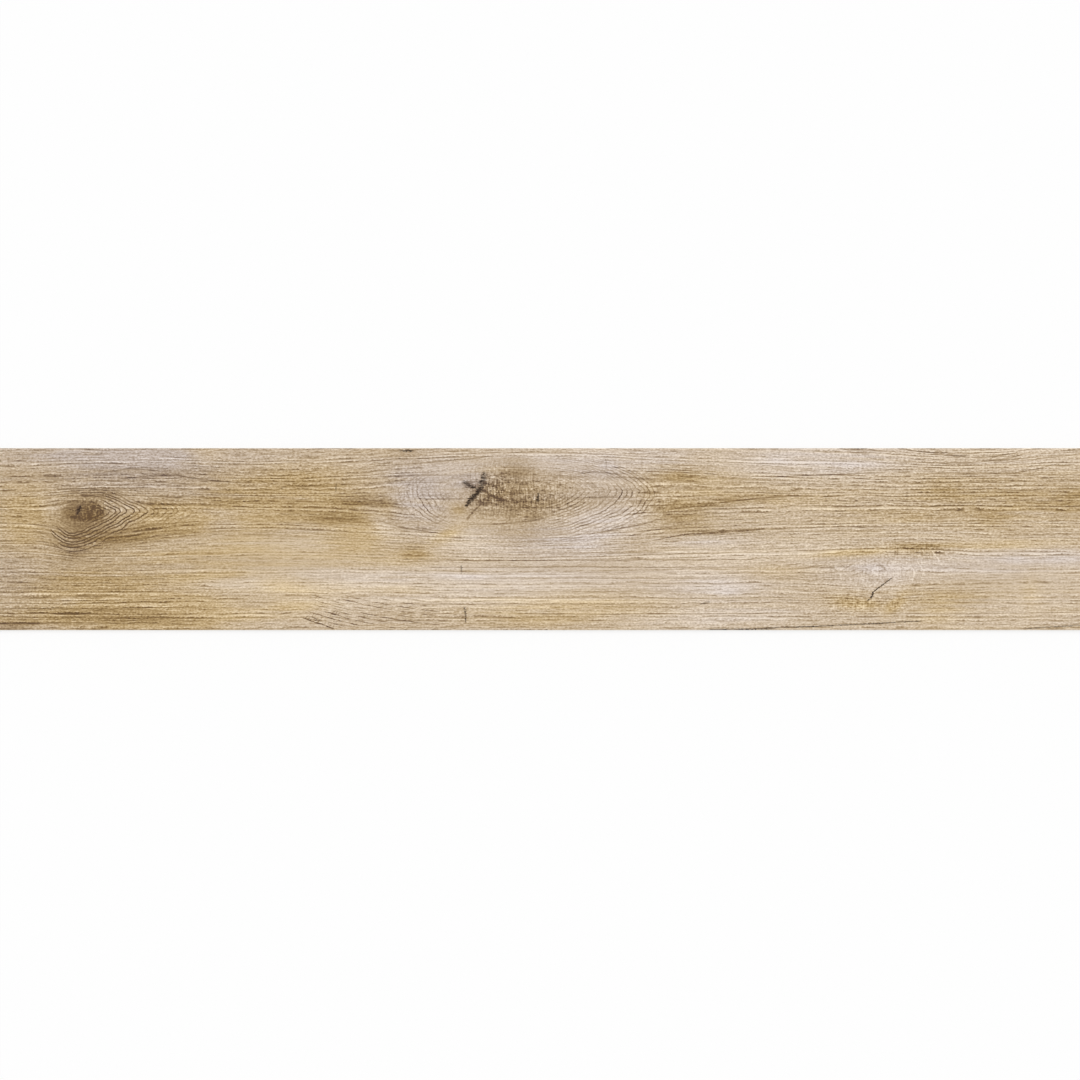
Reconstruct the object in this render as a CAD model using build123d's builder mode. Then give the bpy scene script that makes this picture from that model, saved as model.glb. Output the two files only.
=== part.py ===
"""Wood-look porcelain floor tile: one dry-pressed, fired and rectified plank.

The tile is a single ceramic body. Its face is flat, its four sides are ground square, the arris round
the face carries a fine bevel, and its back is pressed with a honeycomb of shallow pockets that key into
the tile adhesive. The origin is at the middle of the back, with +X along the plank and +Z out of the face.
"""

import math
import os

from build123d import *

# Driving dimensions, in millimetres and degrees

# Plank: the rectified size of a 20 x 120 cm floor tile
TILE_LENGTH = 1200.0
TILE_WIDTH = 200.0
TILE_THICKNESS = 9.0

# Ground edges: a fine bevel round the face and a lighter break round the back
FACE_BEVEL = 0.8
BACK_ARRIS = 0.5

# Keyed back: hexagonal pockets between ribs of even width, inside a plain rail that runs round the back
POCKETS_IN_COLUMN = 6
POCKET_DEPTH = 0.7
POCKET_DRAFT = 30.0
RIB_WIDTH = 3.0
RAIL_WIDTH = 14.0

# Layout of the honeycomb: a column of pockets stands across the plank, and every other column is set
# half a pitch over, so the pockets of a column and that half pitch fill the width between the two long
# rails. As many columns follow as the length between the end rails has room for
HEXAGON_CORNERS = 6
COLUMN_OFFSET = 0.5
flat_to_corner = 1 / math.cos(math.pi / HEXAGON_CORNERS)
field_length = TILE_LENGTH - 2 * RAIL_WIDTH
field_width = TILE_WIDTH - 2 * RAIL_WIDTH
pocket_pitch = (field_width + RIB_WIDTH) / (POCKETS_IN_COLUMN + COLUMN_OFFSET)
pocket_across_flats = pocket_pitch - RIB_WIDTH
pocket_across_corners = pocket_across_flats * flat_to_corner
column_pitch = pocket_pitch / flat_to_corner
columns = 1 + int((field_length - pocket_across_corners) // column_pitch)

# Pocket: the lump that the press die leaves as a hollow, full size at the back and drawn in by its draft
with BuildPart() as pocket:
    with BuildSketch(Plane.XY):
        RegularPolygon(pocket_across_flats / 2, HEXAGON_CORNERS, major_radius=False)
    extrude(amount=POCKET_DEPTH)
    pocket_walls = pocket.faces().sort_by(Axis.Z)[1:-1]
    draft(pocket_walls, neutral_plane=Plane.XY, angle=POCKET_DRAFT)

# Porcelain tile: the pressed plank, its ground arrises, then the honeycomb of the back
with BuildPart() as porcelain_tile:
    with BuildSketch(Plane.XY):
        Rectangle(TILE_LENGTH, TILE_WIDTH)
    extrude(amount=TILE_THICKNESS)

    face = porcelain_tile.faces().sort_by(Axis.Z)[-1]
    chamfer(face.edges(), length=FACE_BEVEL)
    back = porcelain_tile.faces().sort_by(Axis.Z)[0]
    chamfer(back.edges(), length=BACK_ARRIS)

    with HexLocations(pocket_pitch / 2, columns, POCKETS_IN_COLUMN):
        add(pocket.part, mode=Mode.SUBTRACT)

porcelain_tile.part.label = "porcelain_tile"

os.makedirs("parts", exist_ok=True)
export_step(porcelain_tile.part, "parts/porcelain_tile.step")

print(f"pockets: {columns} columns of {POCKETS_IN_COLUMN}, {pocket_across_flats:.2f} mm across flats")
print(f"volume: {porcelain_tile.part.volume / 1000:.1f} cm3")
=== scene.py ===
"""Looks of a wood-look porcelain floor tile: printed matt face with pressed grain, ground edges, keyed back.

The file is laid out as an add-on and is run as a script. It builds one closed piece in the place of the
packed tile: a fine grid for the face, a bevel and four sides round it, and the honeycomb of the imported
model's own back. Fields worked out on the grid say how the grain runs, where the print is dark or warm and
where it cracks, and the material's nodes draw fibres, rings, pores and cracks along them.
"""

import math
from collections import namedtuple

import bmesh
import bpy
import numpy as np
from bpy.props import FloatProperty, FloatVectorProperty, IntProperty, PointerProperty
from bpy.types import Operator, Panel, PropertyGroup
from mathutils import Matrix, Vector


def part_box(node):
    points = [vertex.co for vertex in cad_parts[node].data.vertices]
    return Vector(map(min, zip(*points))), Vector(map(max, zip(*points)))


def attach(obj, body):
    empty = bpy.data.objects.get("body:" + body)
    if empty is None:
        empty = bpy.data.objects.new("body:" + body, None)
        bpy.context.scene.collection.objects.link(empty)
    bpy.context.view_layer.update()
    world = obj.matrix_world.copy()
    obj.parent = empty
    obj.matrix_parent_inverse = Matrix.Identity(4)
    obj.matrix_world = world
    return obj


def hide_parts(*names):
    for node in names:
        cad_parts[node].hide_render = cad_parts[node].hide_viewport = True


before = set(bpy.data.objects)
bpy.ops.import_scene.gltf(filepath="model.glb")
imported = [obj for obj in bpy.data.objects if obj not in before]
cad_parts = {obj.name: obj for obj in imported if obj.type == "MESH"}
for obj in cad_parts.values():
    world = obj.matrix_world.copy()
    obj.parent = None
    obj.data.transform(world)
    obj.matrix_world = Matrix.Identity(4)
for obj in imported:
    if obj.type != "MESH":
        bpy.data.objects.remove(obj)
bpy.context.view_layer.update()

bl_info = {
    "name": "Wood-look porcelain tile",
    "version": (1, 0, 0),
    "blender": (4, 5, 0),
    "location": "View3D > Sidebar > Tile",
    "description": "Builds a printed porcelain plank and the stage it lies on",
    "category": "Add Mesh",
}

# Lengths in this file are millimetres on the tile, x along the plank and y across it from its middle
MM = 0.001
TILE_NODE = "porcelain_tile"
tile_low, tile_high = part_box(TILE_NODE)
HALF_LENGTH = (tile_high.x - tile_low.x) / 2 / MM
HALF_WIDTH = (tile_high.y - tile_low.y) / 2 / MM
THICKNESS = (tile_high.z - tile_low.z) / MM


def table(kind, *rows):
    """Rows of plain numbers as records of one kind."""
    return tuple(kind(*row) for row in rows)


def lines_through(*rows):
    """Cracks or strokes from rows of a darkness and then the points."""
    return tuple(Crack(points, dark) for dark, *points in rows)


# A stretch of the face where details need closer grid columns: its middle, its reach, and how much closer
Stretch = namedtuple("Stretch", "x reach gain")
DETAILED_STRETCHES = table(Stretch, (-470, 110, 1.6), (-30, 150, 1.3), (380, 60, 1.6))

# How the grain bends. A bulge parts the lines round its middle, by a share of their distance from it, and
# reaches differently far to each side. A swell lifts them by a length. A slant tilts only the short dashes,
# by a slope
Bulge = namedtuple("Bulge", "x y left right below above share")
BULGES = table(
    Bulge,
    (-502, 31, 32, 95, 36, 16, 0.82), (-22, 50, 170, 190, 50, 40, 0.72), (374, -40, 70, 80, 24, 22, 0.5),
)
Swell = namedtuple("Swell", "x y half_length half_width lift")
SWELLS = table(Swell, (467, 104, 85, 26, -10), (-440, 78, 90, 18, 3))
Slant = namedtuple("Slant", "x y half_length half_width slope")
SLANTS = table(Slant, (-225, -84, 45, 20, -0.3), (-170, -84, 50, 18, -0.18))

# Left knot: rings that grow from the heart outwards. Each side of their outline has a heading, a distance
# from the middle at which ring 0 lies, and a spacing
Side = namedtuple("Side", "heading start spacing")
KNOT_MIDDLE = (-501.0, 31.0)
KNOT_SIDES = table(
    Side,
    (-61, 10.7, 3.6), (66, 9, 3.02), (95, 10.5, 1.6), (135, 16.9, 2), (180, 24, 2.6), (232, 24.1, 3.2),
    (-92, 19, 3.4),
)
KNOT_SHARPNESS = 1.5
KNOT_LAST_RING = 7.4

# Cathedral: nested ovals on both sides of the cracked knot, a little pointed at the right. Their half sizes
# are along the plank, below their middle and above it
CATHEDRAL_MIDDLE = (-22.0, 53.0)
CATHEDRAL_HALF = (143.0, 58.0, 41.0)
CATHEDRAL_POINTS = (0.0, 7.0)
CATHEDRAL_RINGS = 24.0

# Curl: the small pale eye near the right end
CURL_MIDDLE = (374.0, -36.0)
CURL_HALF = (62.0, 24.0, 24.0)
CURL_RINGS = 7.0

# Tone of the print away from its patches: lightness at the middle and its drift along half the plank, warmth,
# and strength of the fine grain
PLAIN_LIGHTNESS = 0.667
LIGHTNESS_DRIFT = 0.022
PLAIN_WARMTH = 0.55
PLAIN_STRENGTH = 1.03

# Tone patches of the print, dark or pale (lightness) and honey or ash (warmth), drawn out along the grain,
# with a rise for those that lean, and the gain of them all
PATCH_GAIN = 1.12
Patch = namedtuple("Patch", "x y half_length half_width lightness warmth rise", defaults=(0,))
PATCHES = table(
    Patch,
    # Left end and the knot
    (-500, 12, 38, 25, -0.14, 0.12), (-457, 30, 24, 12, -0.04, 0), (-513, -9, 14, 11, -0.09, -0.05),
    (-490, 50, 46, 7, -0.07, 0.2), (-440, 4, 72, 9, -0.13, 0.26, 0.1), (-400, 24, 44, 16, -0.02, 0.45),
    (-418, 36, 14, 10, -0.05, 0.05), (-565, 25, 30, 34, -0.04, 0.45), (-560, 66, 45, 12, -0.01, 0),
    (-539, 34, 12, 13, 0.06, -0.16), (-560, -12, 16, 6, 0.03, 0.05), (-580, -42, 36, 22, -0.03, -0.2),
    (-500, -48, 60, 12, -0.04, 0.3), (-470, -37, 75, 7, -0.04, 0.05), (-450, 92, 120, 12, 0.01, -0.6),
    (-430, 66, 95, 18, -0.02, -0.28), (-450, 71, 90, 5, -0.07, 0), (-368, 95, 26, 8, 0, 0.4),
    (-490, -86, 105, 10, -0.115, 0.34), (-405, -78, 82, 22, -0.01, 0.5), (-588, -96, 40, 5, -0.16, 0.05),
    (-490, -66, 110, 22, -0.057, 0.2), (-365, -40, 50, 5, -0.03, 0.45, 0.04),
    (-385, -19, 38, 8, -0.03, 0.15), (-330, -82, 32, 11, 0.04, -0.05), (-385, 47, 26, 7, 0.02, -0.2),
    # Between the knot and the cathedral
    (-352, 44, 32, 7, -0.09, 0.1), (-300, 64, 55, 10, -0.04, 0.12), (-280, 42, 90, 24, -0.052, 0.53),
    (-320, 5, 40, 16, -0.01, 0.25), (-350, 20, 24, 15, 0.04, -0.34), (-285, 74, 64, 16, -0.005, 0.16),
    (-198, 43, 24, 7, -0.16, 0.1), (-222, 23, 38, 6, -0.11, 0.15), (-210, 66, 50, 8, -0.03, 0.1),
    (-168, 35, 10, 9, -0.09, 0.3), (-200, 0, 36, 20, -0.04, 0.42), (-174, 15, 12, 12, 0.09, -0.16, -0.5),
    (-138, -14, 16, 9, -0.09, 0.3), (-103, 4, 16, 7, -0.01, 0.46, 0.4), (-91, 33, 9, 8, -0.05, 0.32),
    (-250, -55, 55, 8, 0.01, 0.28), (-340, -50, 55, 10, 0.04, -0.1), (-245, -7, 70, 14, 0.035, -0.12),
    (-320, -19, 130, 15, -0.005, 0.28), (-285, -48, 22, 8, 0, 0.34), (-150, -24, 40, 8, 0, 0.18),
    (-150, -40, 180, 10, 0.05, -0.2), (-120, -55, 160, 16, 0.05, -0.12), (-150, -55, 30, 6, -0.02, 0.3),
    (-235, -82, 36, 14, 0.05, -0.04), (-265, -74, 30, 8, 0.01, 0.3),
    # Cathedral and cracked knot
    (-136, 50, 38, 32, -0.005, -0.56), (-105, 80, 22, 14, 0.03, -0.05), (-150, 93, 22, 5, -0.05, 0.1),
    (-75, 64, 18, 13, 0, -0.42), (-42, 58, 26, 13, -0.155, 0.02), (-61, 47, 13, 11, -0.14, 0.12),
    (-76, 58, 8, 6, -0.07, 0), (-54, 61, 9, 6, -0.07, 0.05), (-42, 52, 9, 4, 0.07, 0.05),
    (-12, 54, 9, 11, -0.05, 0.05), (-20, 35, 18, 5, -0.06, 0.1), (-20, 5, 30, 11, -0.08, 0.02),
    (-44, 43, 28, 9, -0.16, 0.05), (-15, 39, 28, 10, -0.15, 0.12), (-25, 76, 18, 13, -0.09, 0.08),
    (-28, 26, 34, 9, -0.07, 0.1), (2, 50, 14, 14, -0.12, 0.02), (-74, -4, 32, 13, 0.06, -0.12),
    (26, 60, 14, 7, -0.06, 0.05), (22, 40, 14, 12, -0.04, 0), (75, 84, 9, 8, 0.02, -0.25),
    (60, 45, 42, 8, -0.05, 0), (68, 64, 46, 20, -0.005, -0.22), (74, 22, 44, 13, 0.05, -0.32, 0.1),
    (30, -4, 54, 16, 0.04, -0.45), (64, 88, 76, 11, 0.065, -0.26), (-30, 88, 40, 10, 0, -0.15),
    (125, 86, 36, 10, 0, -0.2),
    # Right of the cathedral
    (150, 42, 36, 32, -0.02, 0.22), (200, 57, 32, 14, -0.02, 0.2), (152, 72, 26, 9, -0.09, 0.15),
    (152, 32, 24, 8, -0.09, 0.05), (156, 18, 22, 10, -0.07, 0.1), (120, 54, 8, 9, -0.04, 0.15),
    (205, 42, 52, 5, -0.1, 0.1, 0.1), (200, 9, 55, 4, -0.08, 0.05, 0.04),
    (180, -2, 45, 5, 0.04, -0.25, 0.03), (200, -20, 70, 12, 0.05, -0.05),
    (195, -54, 45, 10, 0.085, -0.42), (200, -86, 70, 12, 0.06, -0.22), (265, -33, 36, 8, -0.04, 0.18),
    (45, -40, 140, 24, 0.03, -0.05), (165, -33, 64, 6, 0.03, -0.05), (270, 86, 50, 13, 0.06, -0.32),
    (345, 84, 45, 13, 0.055, -0.34), (-20, -87, 55, 9, -0.03, 0.3), (50, -74, 80, 11, -0.02, 0.3),
    (270, 44, 60, 10, 0, 0.15),
    # Right end
    (440, 55, 22, 12, -0.06, 0.22), (520, 47, 95, 22, -0.07, 0.28), (585, 44, 22, 14, -0.09, 0.22),
    (500, 21, 24, 9, -0.07, 0.25), (560, 8, 40, 12, -0.01, 0.05), (350, 40, 95, 25, -0.01, 0.05),
    (400, 22, 60, 9, -0.005, 0.14), (416, -10.5, 27, 6.5, -0.13, 0.22), (415, 1, 32, 5, 0.03, 0),
    (345, -15, 36, 4, -0.03, 0.5, 0.06), (105, -6, 16, 6, -0.05, 0.05), (500, -6, 60, 5, 0, 0.3),
    (305, -8, 26, 9, 0.04, 0), (275, -24, 24, 7, 0.03, 0), (585, -38, 30, 9, 0.035, 0),
    (378, -36, 34, 18, 0.03, -0.18), (490, -28, 95, 12, 0.035, -0.28, 0.03),
    (570, -20, 50, 7, 0.035, -0.32), (330, -35, 40, 12, 0, -0.18), (346, -70, 28, 7, -0.07, 0.4, -0.1),
    (392, -70, 11, 7, -0.06, 0.45, 0.8), (445, -62, 46, 11, -0.04, 0.22), (435, -82, 24, 14, 0, 0.2),
    (540, -70, 26, 15, 0.03, 0), (540, -60, 9, 16, 0, 0.2), (355, 97, 13, 4, -0.06, 0),
    (480, 88, 110, 14, 0.022, -0.06),
    # Thin pale lines between the brown ones
    (-85, -67, 95, 1.6, 0.1, 0.1, 0.01), (-60, -75, 85, 1.5, 0.08, 0.1), (-10, -81, 100, 1.4, 0.08, 0.05),
    (60, -68, 80, 1.5, 0.08, 0.1), (-500, -60, 70, 1.6, 0.09, 0.05), (-455, -72, 80, 1.5, 0.09, 0.05),
    (-540, -90, 60, 1.5, 0.09, 0.05),
)

# Spots: patches with a firm edge. They are the heart of the left knot, its pith, and small stains
SPOTS = table(
    Patch,
    (-502, 31, 23, 11.5, -0.17, 0.1), (-491, 30.5, 13, 10, -0.11, 0.1),
    (-507.5, 32, 3.4, 5, -0.08, -0.1, 0.9), (-6.3, 45.5, 1.8, 2.6, 0.2, -0.1),
    (-511, 24.5, 5.5, 1.6, -0.12, 0),
)

# How much more or less strongly than elsewhere the fine grain shows
Strength = namedtuple("Strength", "x y half_length half_width gain")
GRAIN_STRENGTHS = table(
    Strength,
    (430, 45, 190, 42, 0.22), (-500, -75, 130, 32, 0.35), (-480, 40, 130, 40, 0.25),
    (60, 50, 90, 36, 0.15), (-290, -20, 95, 36, -0.6), (30, -42, 180, 26, -0.52),
    (-212, -84, 55, 18, -0.5), (520, -40, 90, 28, -0.52), (480, 86, 130, 18, 0.3),
    (-280, 66, 90, 26, 0.2),
)

# How strongly the growth lines show, over a faint show everywhere
FAINT_GROWTH = 0.35
GROWTH_PLACES = table(
    Strength,
    (-500, -74, 150, 30, 0.95), (450, 48, 200, 40, 0.58), (470, 88, 120, 14, 0.75),
    (-420, 72, 130, 14, 0.55), (-270, 45, 100, 30, 0.5), (20, -84, 160, 16, 0.55),
)

# Rough places, where marks across the grain show
ROUGH_PLACES = table(
    Strength,
    (-50, 52, 28, 22, 3.2), (-8, 46, 56, 27, 1.9), (-140, 50, 34, 30, 0.7), (-200, -82, 60, 16, 0.4),
    (405, -14, 55, 12, 1), (-494, 31, 20, 12, 2.1), (-492, 50, 36, 6, 0.6), (130, 45, 36, 26, 0.7),
    (374, -40, 50, 24, 0.8), (350, -70, 36, 10, 1.3), (392, -70, 14, 9, 1.2),
)

# Open-pored places, where short dark dashes show
PORE_PLACES = table(
    Strength,
    (-225, -84, 50, 17, 0.45), (-120, -84, 60, 13, 0.4), (-15, 46, 56, 26, 0.3), (430, 45, 200, 42, 0.55),
    (70, 45, 60, 32, 0.5), (-280, 60, 110, 36, 0.5), (-430, 60, 110, 30, 0.35), (415, -10, 34, 8, 0.9),
)

# Cracks: their points, each with the half width there, and their darkness. Those that cross are in two sets.
# A crack's darkness fades from so many half widths away, and a stroke's from nearer, both over a length past
# the ends and another beside the line
Crack = namedtuple("Crack", "points dark")
CRACK_REACH = 4.0
STROKE_REACH = 2.2
END_FADE = 2.0
SIDE_FADE = 1.4
CRACKS = (
    lines_through(
        (0.72, (-84, 62.6, 1.8), (-81, 61.6, 3), (-77.5, 59.8, 1.8), (-74, 57.8, 1.1), (-68, 54.4, 1.6)),
        (1, (386, -43.5, 0.35), (375, -51.5, 0.55), (367, -57.5, 0.75), (365, -63, 1.2), (361, -67, 0.6)),
        (0.75, (186, -99.3, 0.3), (228, -98.6, 0.65), (258, -98.4, 0.45)),
        (0.6, (532, -98.4, 0.3), (560, -96.5, 0.6), (596, -94.4, 0.45)),
        (0.5, (-224, 60, 0.5), (-224.5, 53, 0.8)),
        (0.5, (-86, -30, 1.2), (-86.5, -37, 0.6)),
        (0.65, (-82.5, -76, 1.3), (-81.8, -80, 1.1), (-81.5, -91, 0.5)),
        (0.55, (178, -70.8, 0.6), (186, -69, 1)),
        (0.85, (-153, 97.3, 0.6), (-147, 97.2, 1.3), (-140, 97, 0.7)),
    ),
    lines_through(
        (0.72, (-61.2, 72.5, 2), (-61.8, 67, 3.6), (-63.4, 61.5, 3.2), (-65.8, 55, 2.2)),
        (1, (-65.2, 54.2, 1.9), (-72.4, 46.8, 2.3), (-77.6, 41.4, 2.4), (-80.8, 36.8, 1.3)),
        (0.8, (248, -97.2, 0.3), (297, -96, 0.5), (363, -93, 0.55), (399, -90.9, 0.55),
         (419, -90.2, 0.4)),
        (1, (-1.8, 49.5, 0.8), (-2.8, 42, 1.6)),
        (0.72, (-504.5, 36, 0.7), (-506.5, 32.5, 1.7), (-508.5, 28, 1)),
    ),
)

# Strokes of the print, like cracks but brown, or pale where their darkness is below nought
STROKES = lines_through(
    # Round the left knot
    (0.6, (-464, 66, 0.5), (-429, 69.5, 0.9), (-400, 70.5, 1.1), (-374, 66, 0.9), (-343, 63, 0.4)),
    (0.22, (-598, 71, 0.6), (-561, 68.5, 0.9), (-525, 66, 0.8), (-473, 65, 0.4)),
    (0.45, (-530, 55, 0.4), (-500, 55.5, 0.7), (-462, 53, 0.4)),
    (0.4, (-505, 48.6, 0.5), (-488, 48.8, 0.9), (-470, 48.4, 0.5)),
    (0.4, (-515, 51, 0.4), (-490, 51.5, 0.7), (-455, 49.5, 0.4)),
    (0.45, (-478, 74, 0.4), (-450, 77.5, 0.8), (-410, 74.5, 0.4)),
    (0.4, (-455, 61, 0.4), (-420, 62.5, 0.8), (-385, 61, 0.4)),
    (0.45, (-530, 46.5, 0.4), (-495, 47.6, 0.7), (-461, 46, 0.4)),
    (0.2, (-434, 47.3, 0.5), (-405, 46.4, 0.9), (-379, 47.5, 0.4)),
    (0.28, (-600, -93, 0.8), (-570, -92, 1.1), (-520, -91, 0.9), (-460, -92.5, 0.4)),
    (0.28, (-560, -78, 0.4), (-500, -76.5, 0.9), (-420, -78, 0.5)),
    # Round the cathedral
    (0.32, (-173, 68.5, 0.5), (-141, 70.5, 0.9), (-110, 70.6, 0.8), (-77, 70.6, 0.4)),
    (0.42, (-176, 80.5, 0.4), (-121, 85, 0.8), (-77, 88.5, 0.9), (-52, 91.5, 0.4)),
    (0.34, (-158, 61.5, 0.4), (-135, 62.4, 0.6), (-104, 62.2, 0.4)),
    (0.34, (-107, 50, 0.4), (-105.8, 46, 0.6), (-106.8, 40.5, 0.4)),
    (0.34, (-101, 49.5, 0.4), (-99.8, 45, 0.6), (-101, 39.5, 0.4)),
    (0.3, (-126, 19, 0.4), (-116, 17, 0.6), (-108, 19.5, 0.6), (-103.5, 25.5, 0.4)),
    (0.26, (-122, 26, 0.4), (-114, 24, 0.6), (-108, 26.5, 0.6), (-105, 31, 0.4)),
    (0.2, (-128, 54.7, 0.4), (-104, 54.5, 0.6), (-84, 55, 0.4)),
    (0.4, (-148, 49, 0.4), (-122, 48.4, 0.7), (-95, 48.6, 0.4)),
    (0.4, (-137, 44.2, 0.4), (-108, 44.5, 0.7), (-82, 44.2, 0.4)),
    (0.4, (-176, 20, 0.5), (-154, 13.5, 0.9), (-121, 8, 0.8), (-99, 4.5, 0.4)),
    (0.48, (-77, 16.5, 0.4), (-44, 16.7, 0.9), (-11, 20, 0.9), (8, 23.5, 0.4)),
    (0.5, (48, 4, 0.4), (73, 9, 1), (110, 16, 0.9), (132, 22, 0.4)),
    (0.45, (99, 3.5, 0.4), (121, 9.5, 0.8), (150, 14, 0.4)),
    (0.5, (43, 72.5, 0.4), (60, 74, 0.9), (82, 72.5, 0.8), (97, 64, 0.4)),
    (0.34, (66, 54.2, 0.4), (100, 54, 0.7), (140, 54.3, 0.4)),
    (0.3, (84, 50.6, 0.4), (112, 50.8, 0.7), (141, 50.2, 0.4)),
    (0.36, (48, 46, 0.4), (75, 46.3, 0.7), (97, 46, 0.4)),
    (0.3, (99, 42.5, 0.4), (110, 42.4, 0.6), (121, 42.6, 0.4)),
    (0.35, (71.5, 90, 0.4), (73, 84, 0.8), (72.5, 77, 0.5)),
    (0.8, (126, -1, 0.4), (157, 5, 0.9), (200, 8, 1.1), (246, 11, 0.8)),
    (0.5, (178, 38, 0.4), (220, 43, 1), (262, 47, 0.9), (300, 48, 0.4)),
    # The cracked knot's stain
    (0.66, (-65, 55, 0.9), (-56, 50, 1.6), (-49, 46, 2), (-42, 43.6, 1.4), (-36, 42, 0.8)),
    (0.55, (-79.5, 22, 0.9), (-76, 27.5, 1.6), (-72, 32, 1.2), (-66, 37, 0.8)),
    (0.42, (-70, 40, 0.8), (-62, 38.5, 1.6), (-54, 39.5, 1.7), (-47, 38, 0.8)),
    (0.28, (-58, 64, 0.7), (-45, 63, 1.3), (-30, 65, 0.7)),
    (0.28, (-60, 58, 0.6), (-46, 56.5, 1.2), (-34, 58, 0.6)),
    (0.26, (-30, 40, 0.7), (-16, 42, 1.4), (-8, 40, 0.7)),
    (0.26, (2, 40, 0.7), (9, 38, 1.3), (18, 40, 0.7)),
    (0.28, (-26, 27.5, 0.7), (-10, 23, 1.3), (2, 25.5, 0.7)),
    # Lower edge
    (1.3, (-259, -87, 0.5), (-243, -92.5, 0.9), (-228, -97.8, 0.6)),
    (1.2, (-236, -79.5, 0.4), (-229, -81.5, 0.9), (-221, -83.5, 0.4)),
    # Right end
    (0.65, (254, 68, 0.4), (297, 70.5, 0.8), (376, 73, 0.4)),
    (0.2, (400, 52, 0.4), (450, 50.5, 0.7), (520, 52, 0.7), (585, 55, 0.4)),
    (0.65, (405, 98, 0.4), (431, 95, 0.7), (455, 91.2, 0.9), (472, 90, 0.4)),
    (0.7, (476, 90, 0.4), (500, 91, 0.8), (525, 95, 0.4)),
    (0.5, (396, 84.4, 0.4), (440, 84, 0.7), (478, 84.6, 0.8), (515, 88.7, 0.7), (532, 94, 0.4)),
    (0.52, (432, 72.2, 0.4), (480, 72.4, 0.8), (520, 72.4, 0.8), (547, 77.5, 0.6), (575, 84.5, 0.4)),
    (0.42, (440, 80.8, 0.4), (455, 80.6, 0.6), (478, 81, 0.4)),
    (0.42, (432, 61.8, 0.4), (465, 62.4, 0.7), (510, 61.6, 0.4)),
    (0.5, (435, 97, 0.4), (455, 93.5, 0.7), (480, 94, 0.4)),
    (0.45, (500, 84, 0.4), (545, 88, 0.7), (590, 93, 0.4)),
    (0.46, (374.5, -28.5, 0.8), (377.5, -30.5, 1.6), (380, -33.5, 0.8)),
    (0.34, (342, -35.5, 0.5), (349, -32.5, 1), (357, -32, 1.1), (364, -35, 0.5)),
    (0.38, (345, -39.5, 0.4), (353, -36.5, 0.9), (362, -39, 0.4)),
    (0.3, (331, -27, 0.4), (336, -32, 0.8), (341, -28.5, 0.4)),
    (0.34, (316, -30.5, 0.7), (322, -31.5, 1.7), (326, -34.5, 0.7)),
    (0.25, (296, -30, 0.5), (303, -31, 0.8), (310, -28.5, 0.4)),
    (0.3, (372, -20, 0.4), (379, -19, 0.6), (384, -23, 0.4)),
    (-0.28, (415.6, -25, 0.5), (422, -36, 1), (418, -49, 0.5)),
    (-0.24, (407, -27, 0.4), (412, -37, 0.8), (409, -47, 0.4)),
    (-0.45, (428.8, -11, 0.7), (434, -16, 1.2), (438.7, -23, 0.7)),
)


# Slanted dashes: the left end of the lines they are cut from, those lines' run, heights at that end, slope
# there and bend, and the heights between which a dash is kept
DASH_LEFT = -262
DASH_RUN = 150
DASH_STARTS = np.arange(-38, -97, -4.9)
DASH_SLOPE = 0.33
DASH_BEND = 1250
DASH_LOWEST = -98
DASH_HIGHEST = -61


def slanted_dashes():
    """Short dashes near the lower edge, cut from lines that fall to the right, steeply at first, then less.

    A line's height is its start, less its slope times the way along it, plus the square of that way over
    its bend.
    """
    dice = np.random.default_rng(51)
    dashes = []
    for start in DASH_STARTS:
        along = dice.uniform(0, 14)
        while along < DASH_RUN:
            reach = dice.uniform(12, 28)
            half_width = dice.uniform(0.38, 0.62)
            dark = dice.uniform(0.5, 1.6) * (1 - along / 250)
            way = along + reach * np.array((0, 0.5, 1))
            height = start - DASH_SLOPE * way + way**2 / DASH_BEND
            if height.max() < DASH_HIGHEST and height.min() > DASH_LOWEST:
                widths = half_width * np.array((0.6, 1, 0.6))
                dashes.append(Crack(tuple(zip(way + DASH_LEFT, height, widths)), dark))
            along += reach + dice.uniform(3, 12)
    return tuple(dashes)


# Level lines below the cathedral: the height of each on the face and its darkness
LEVEL_LINES = (
    (-15, 0.22), (-22.9, 0.56), (-30.6, 0.5), (-36.1, 0.42), (-42.7, 0.4), (-49.3, 0.22), (-57, 0.36),
    (-64.7, 0.24), (-71.2, 0.2), (-82.2, 0.26), (-95.4, 0.14),
)


def level_lines():
    """Strokes along the level lines, thickest near the middle of the face, each with a slight wander."""
    dice = np.random.default_rng(52)
    along = np.array((-125, -40, 50, 135, 235))
    widths = np.array((0.35, 0.6, 0.8, 0.7, 0.35))
    lines = []
    for height, dark in LEVEL_LINES:
        heights = height + dice.uniform(-0.4, 0.4, len(along))
        lines.append(Crack(tuple(zip(along + dice.uniform(-20, 20), heights, widths)), dark))
    return tuple(lines)


def linear(red, green, blue):
    """Linear light of a colour that is written in the usual 0 to 255 steps of a screen."""
    steps = np.array((red, green, blue)) / 255
    light = np.where(steps > 0.04045, ((steps + 0.055) / 1.055) ** 2.4, steps / 12.92)
    return tuple(float(part) for part in light)


# Fields on the face

def ease(share):
    """Smooth step: three times the square less twice the cube, of a share held between 0 and 1."""
    share = np.clip(share, 0, 1)
    return share * share * (3 - 2 * share)


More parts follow.
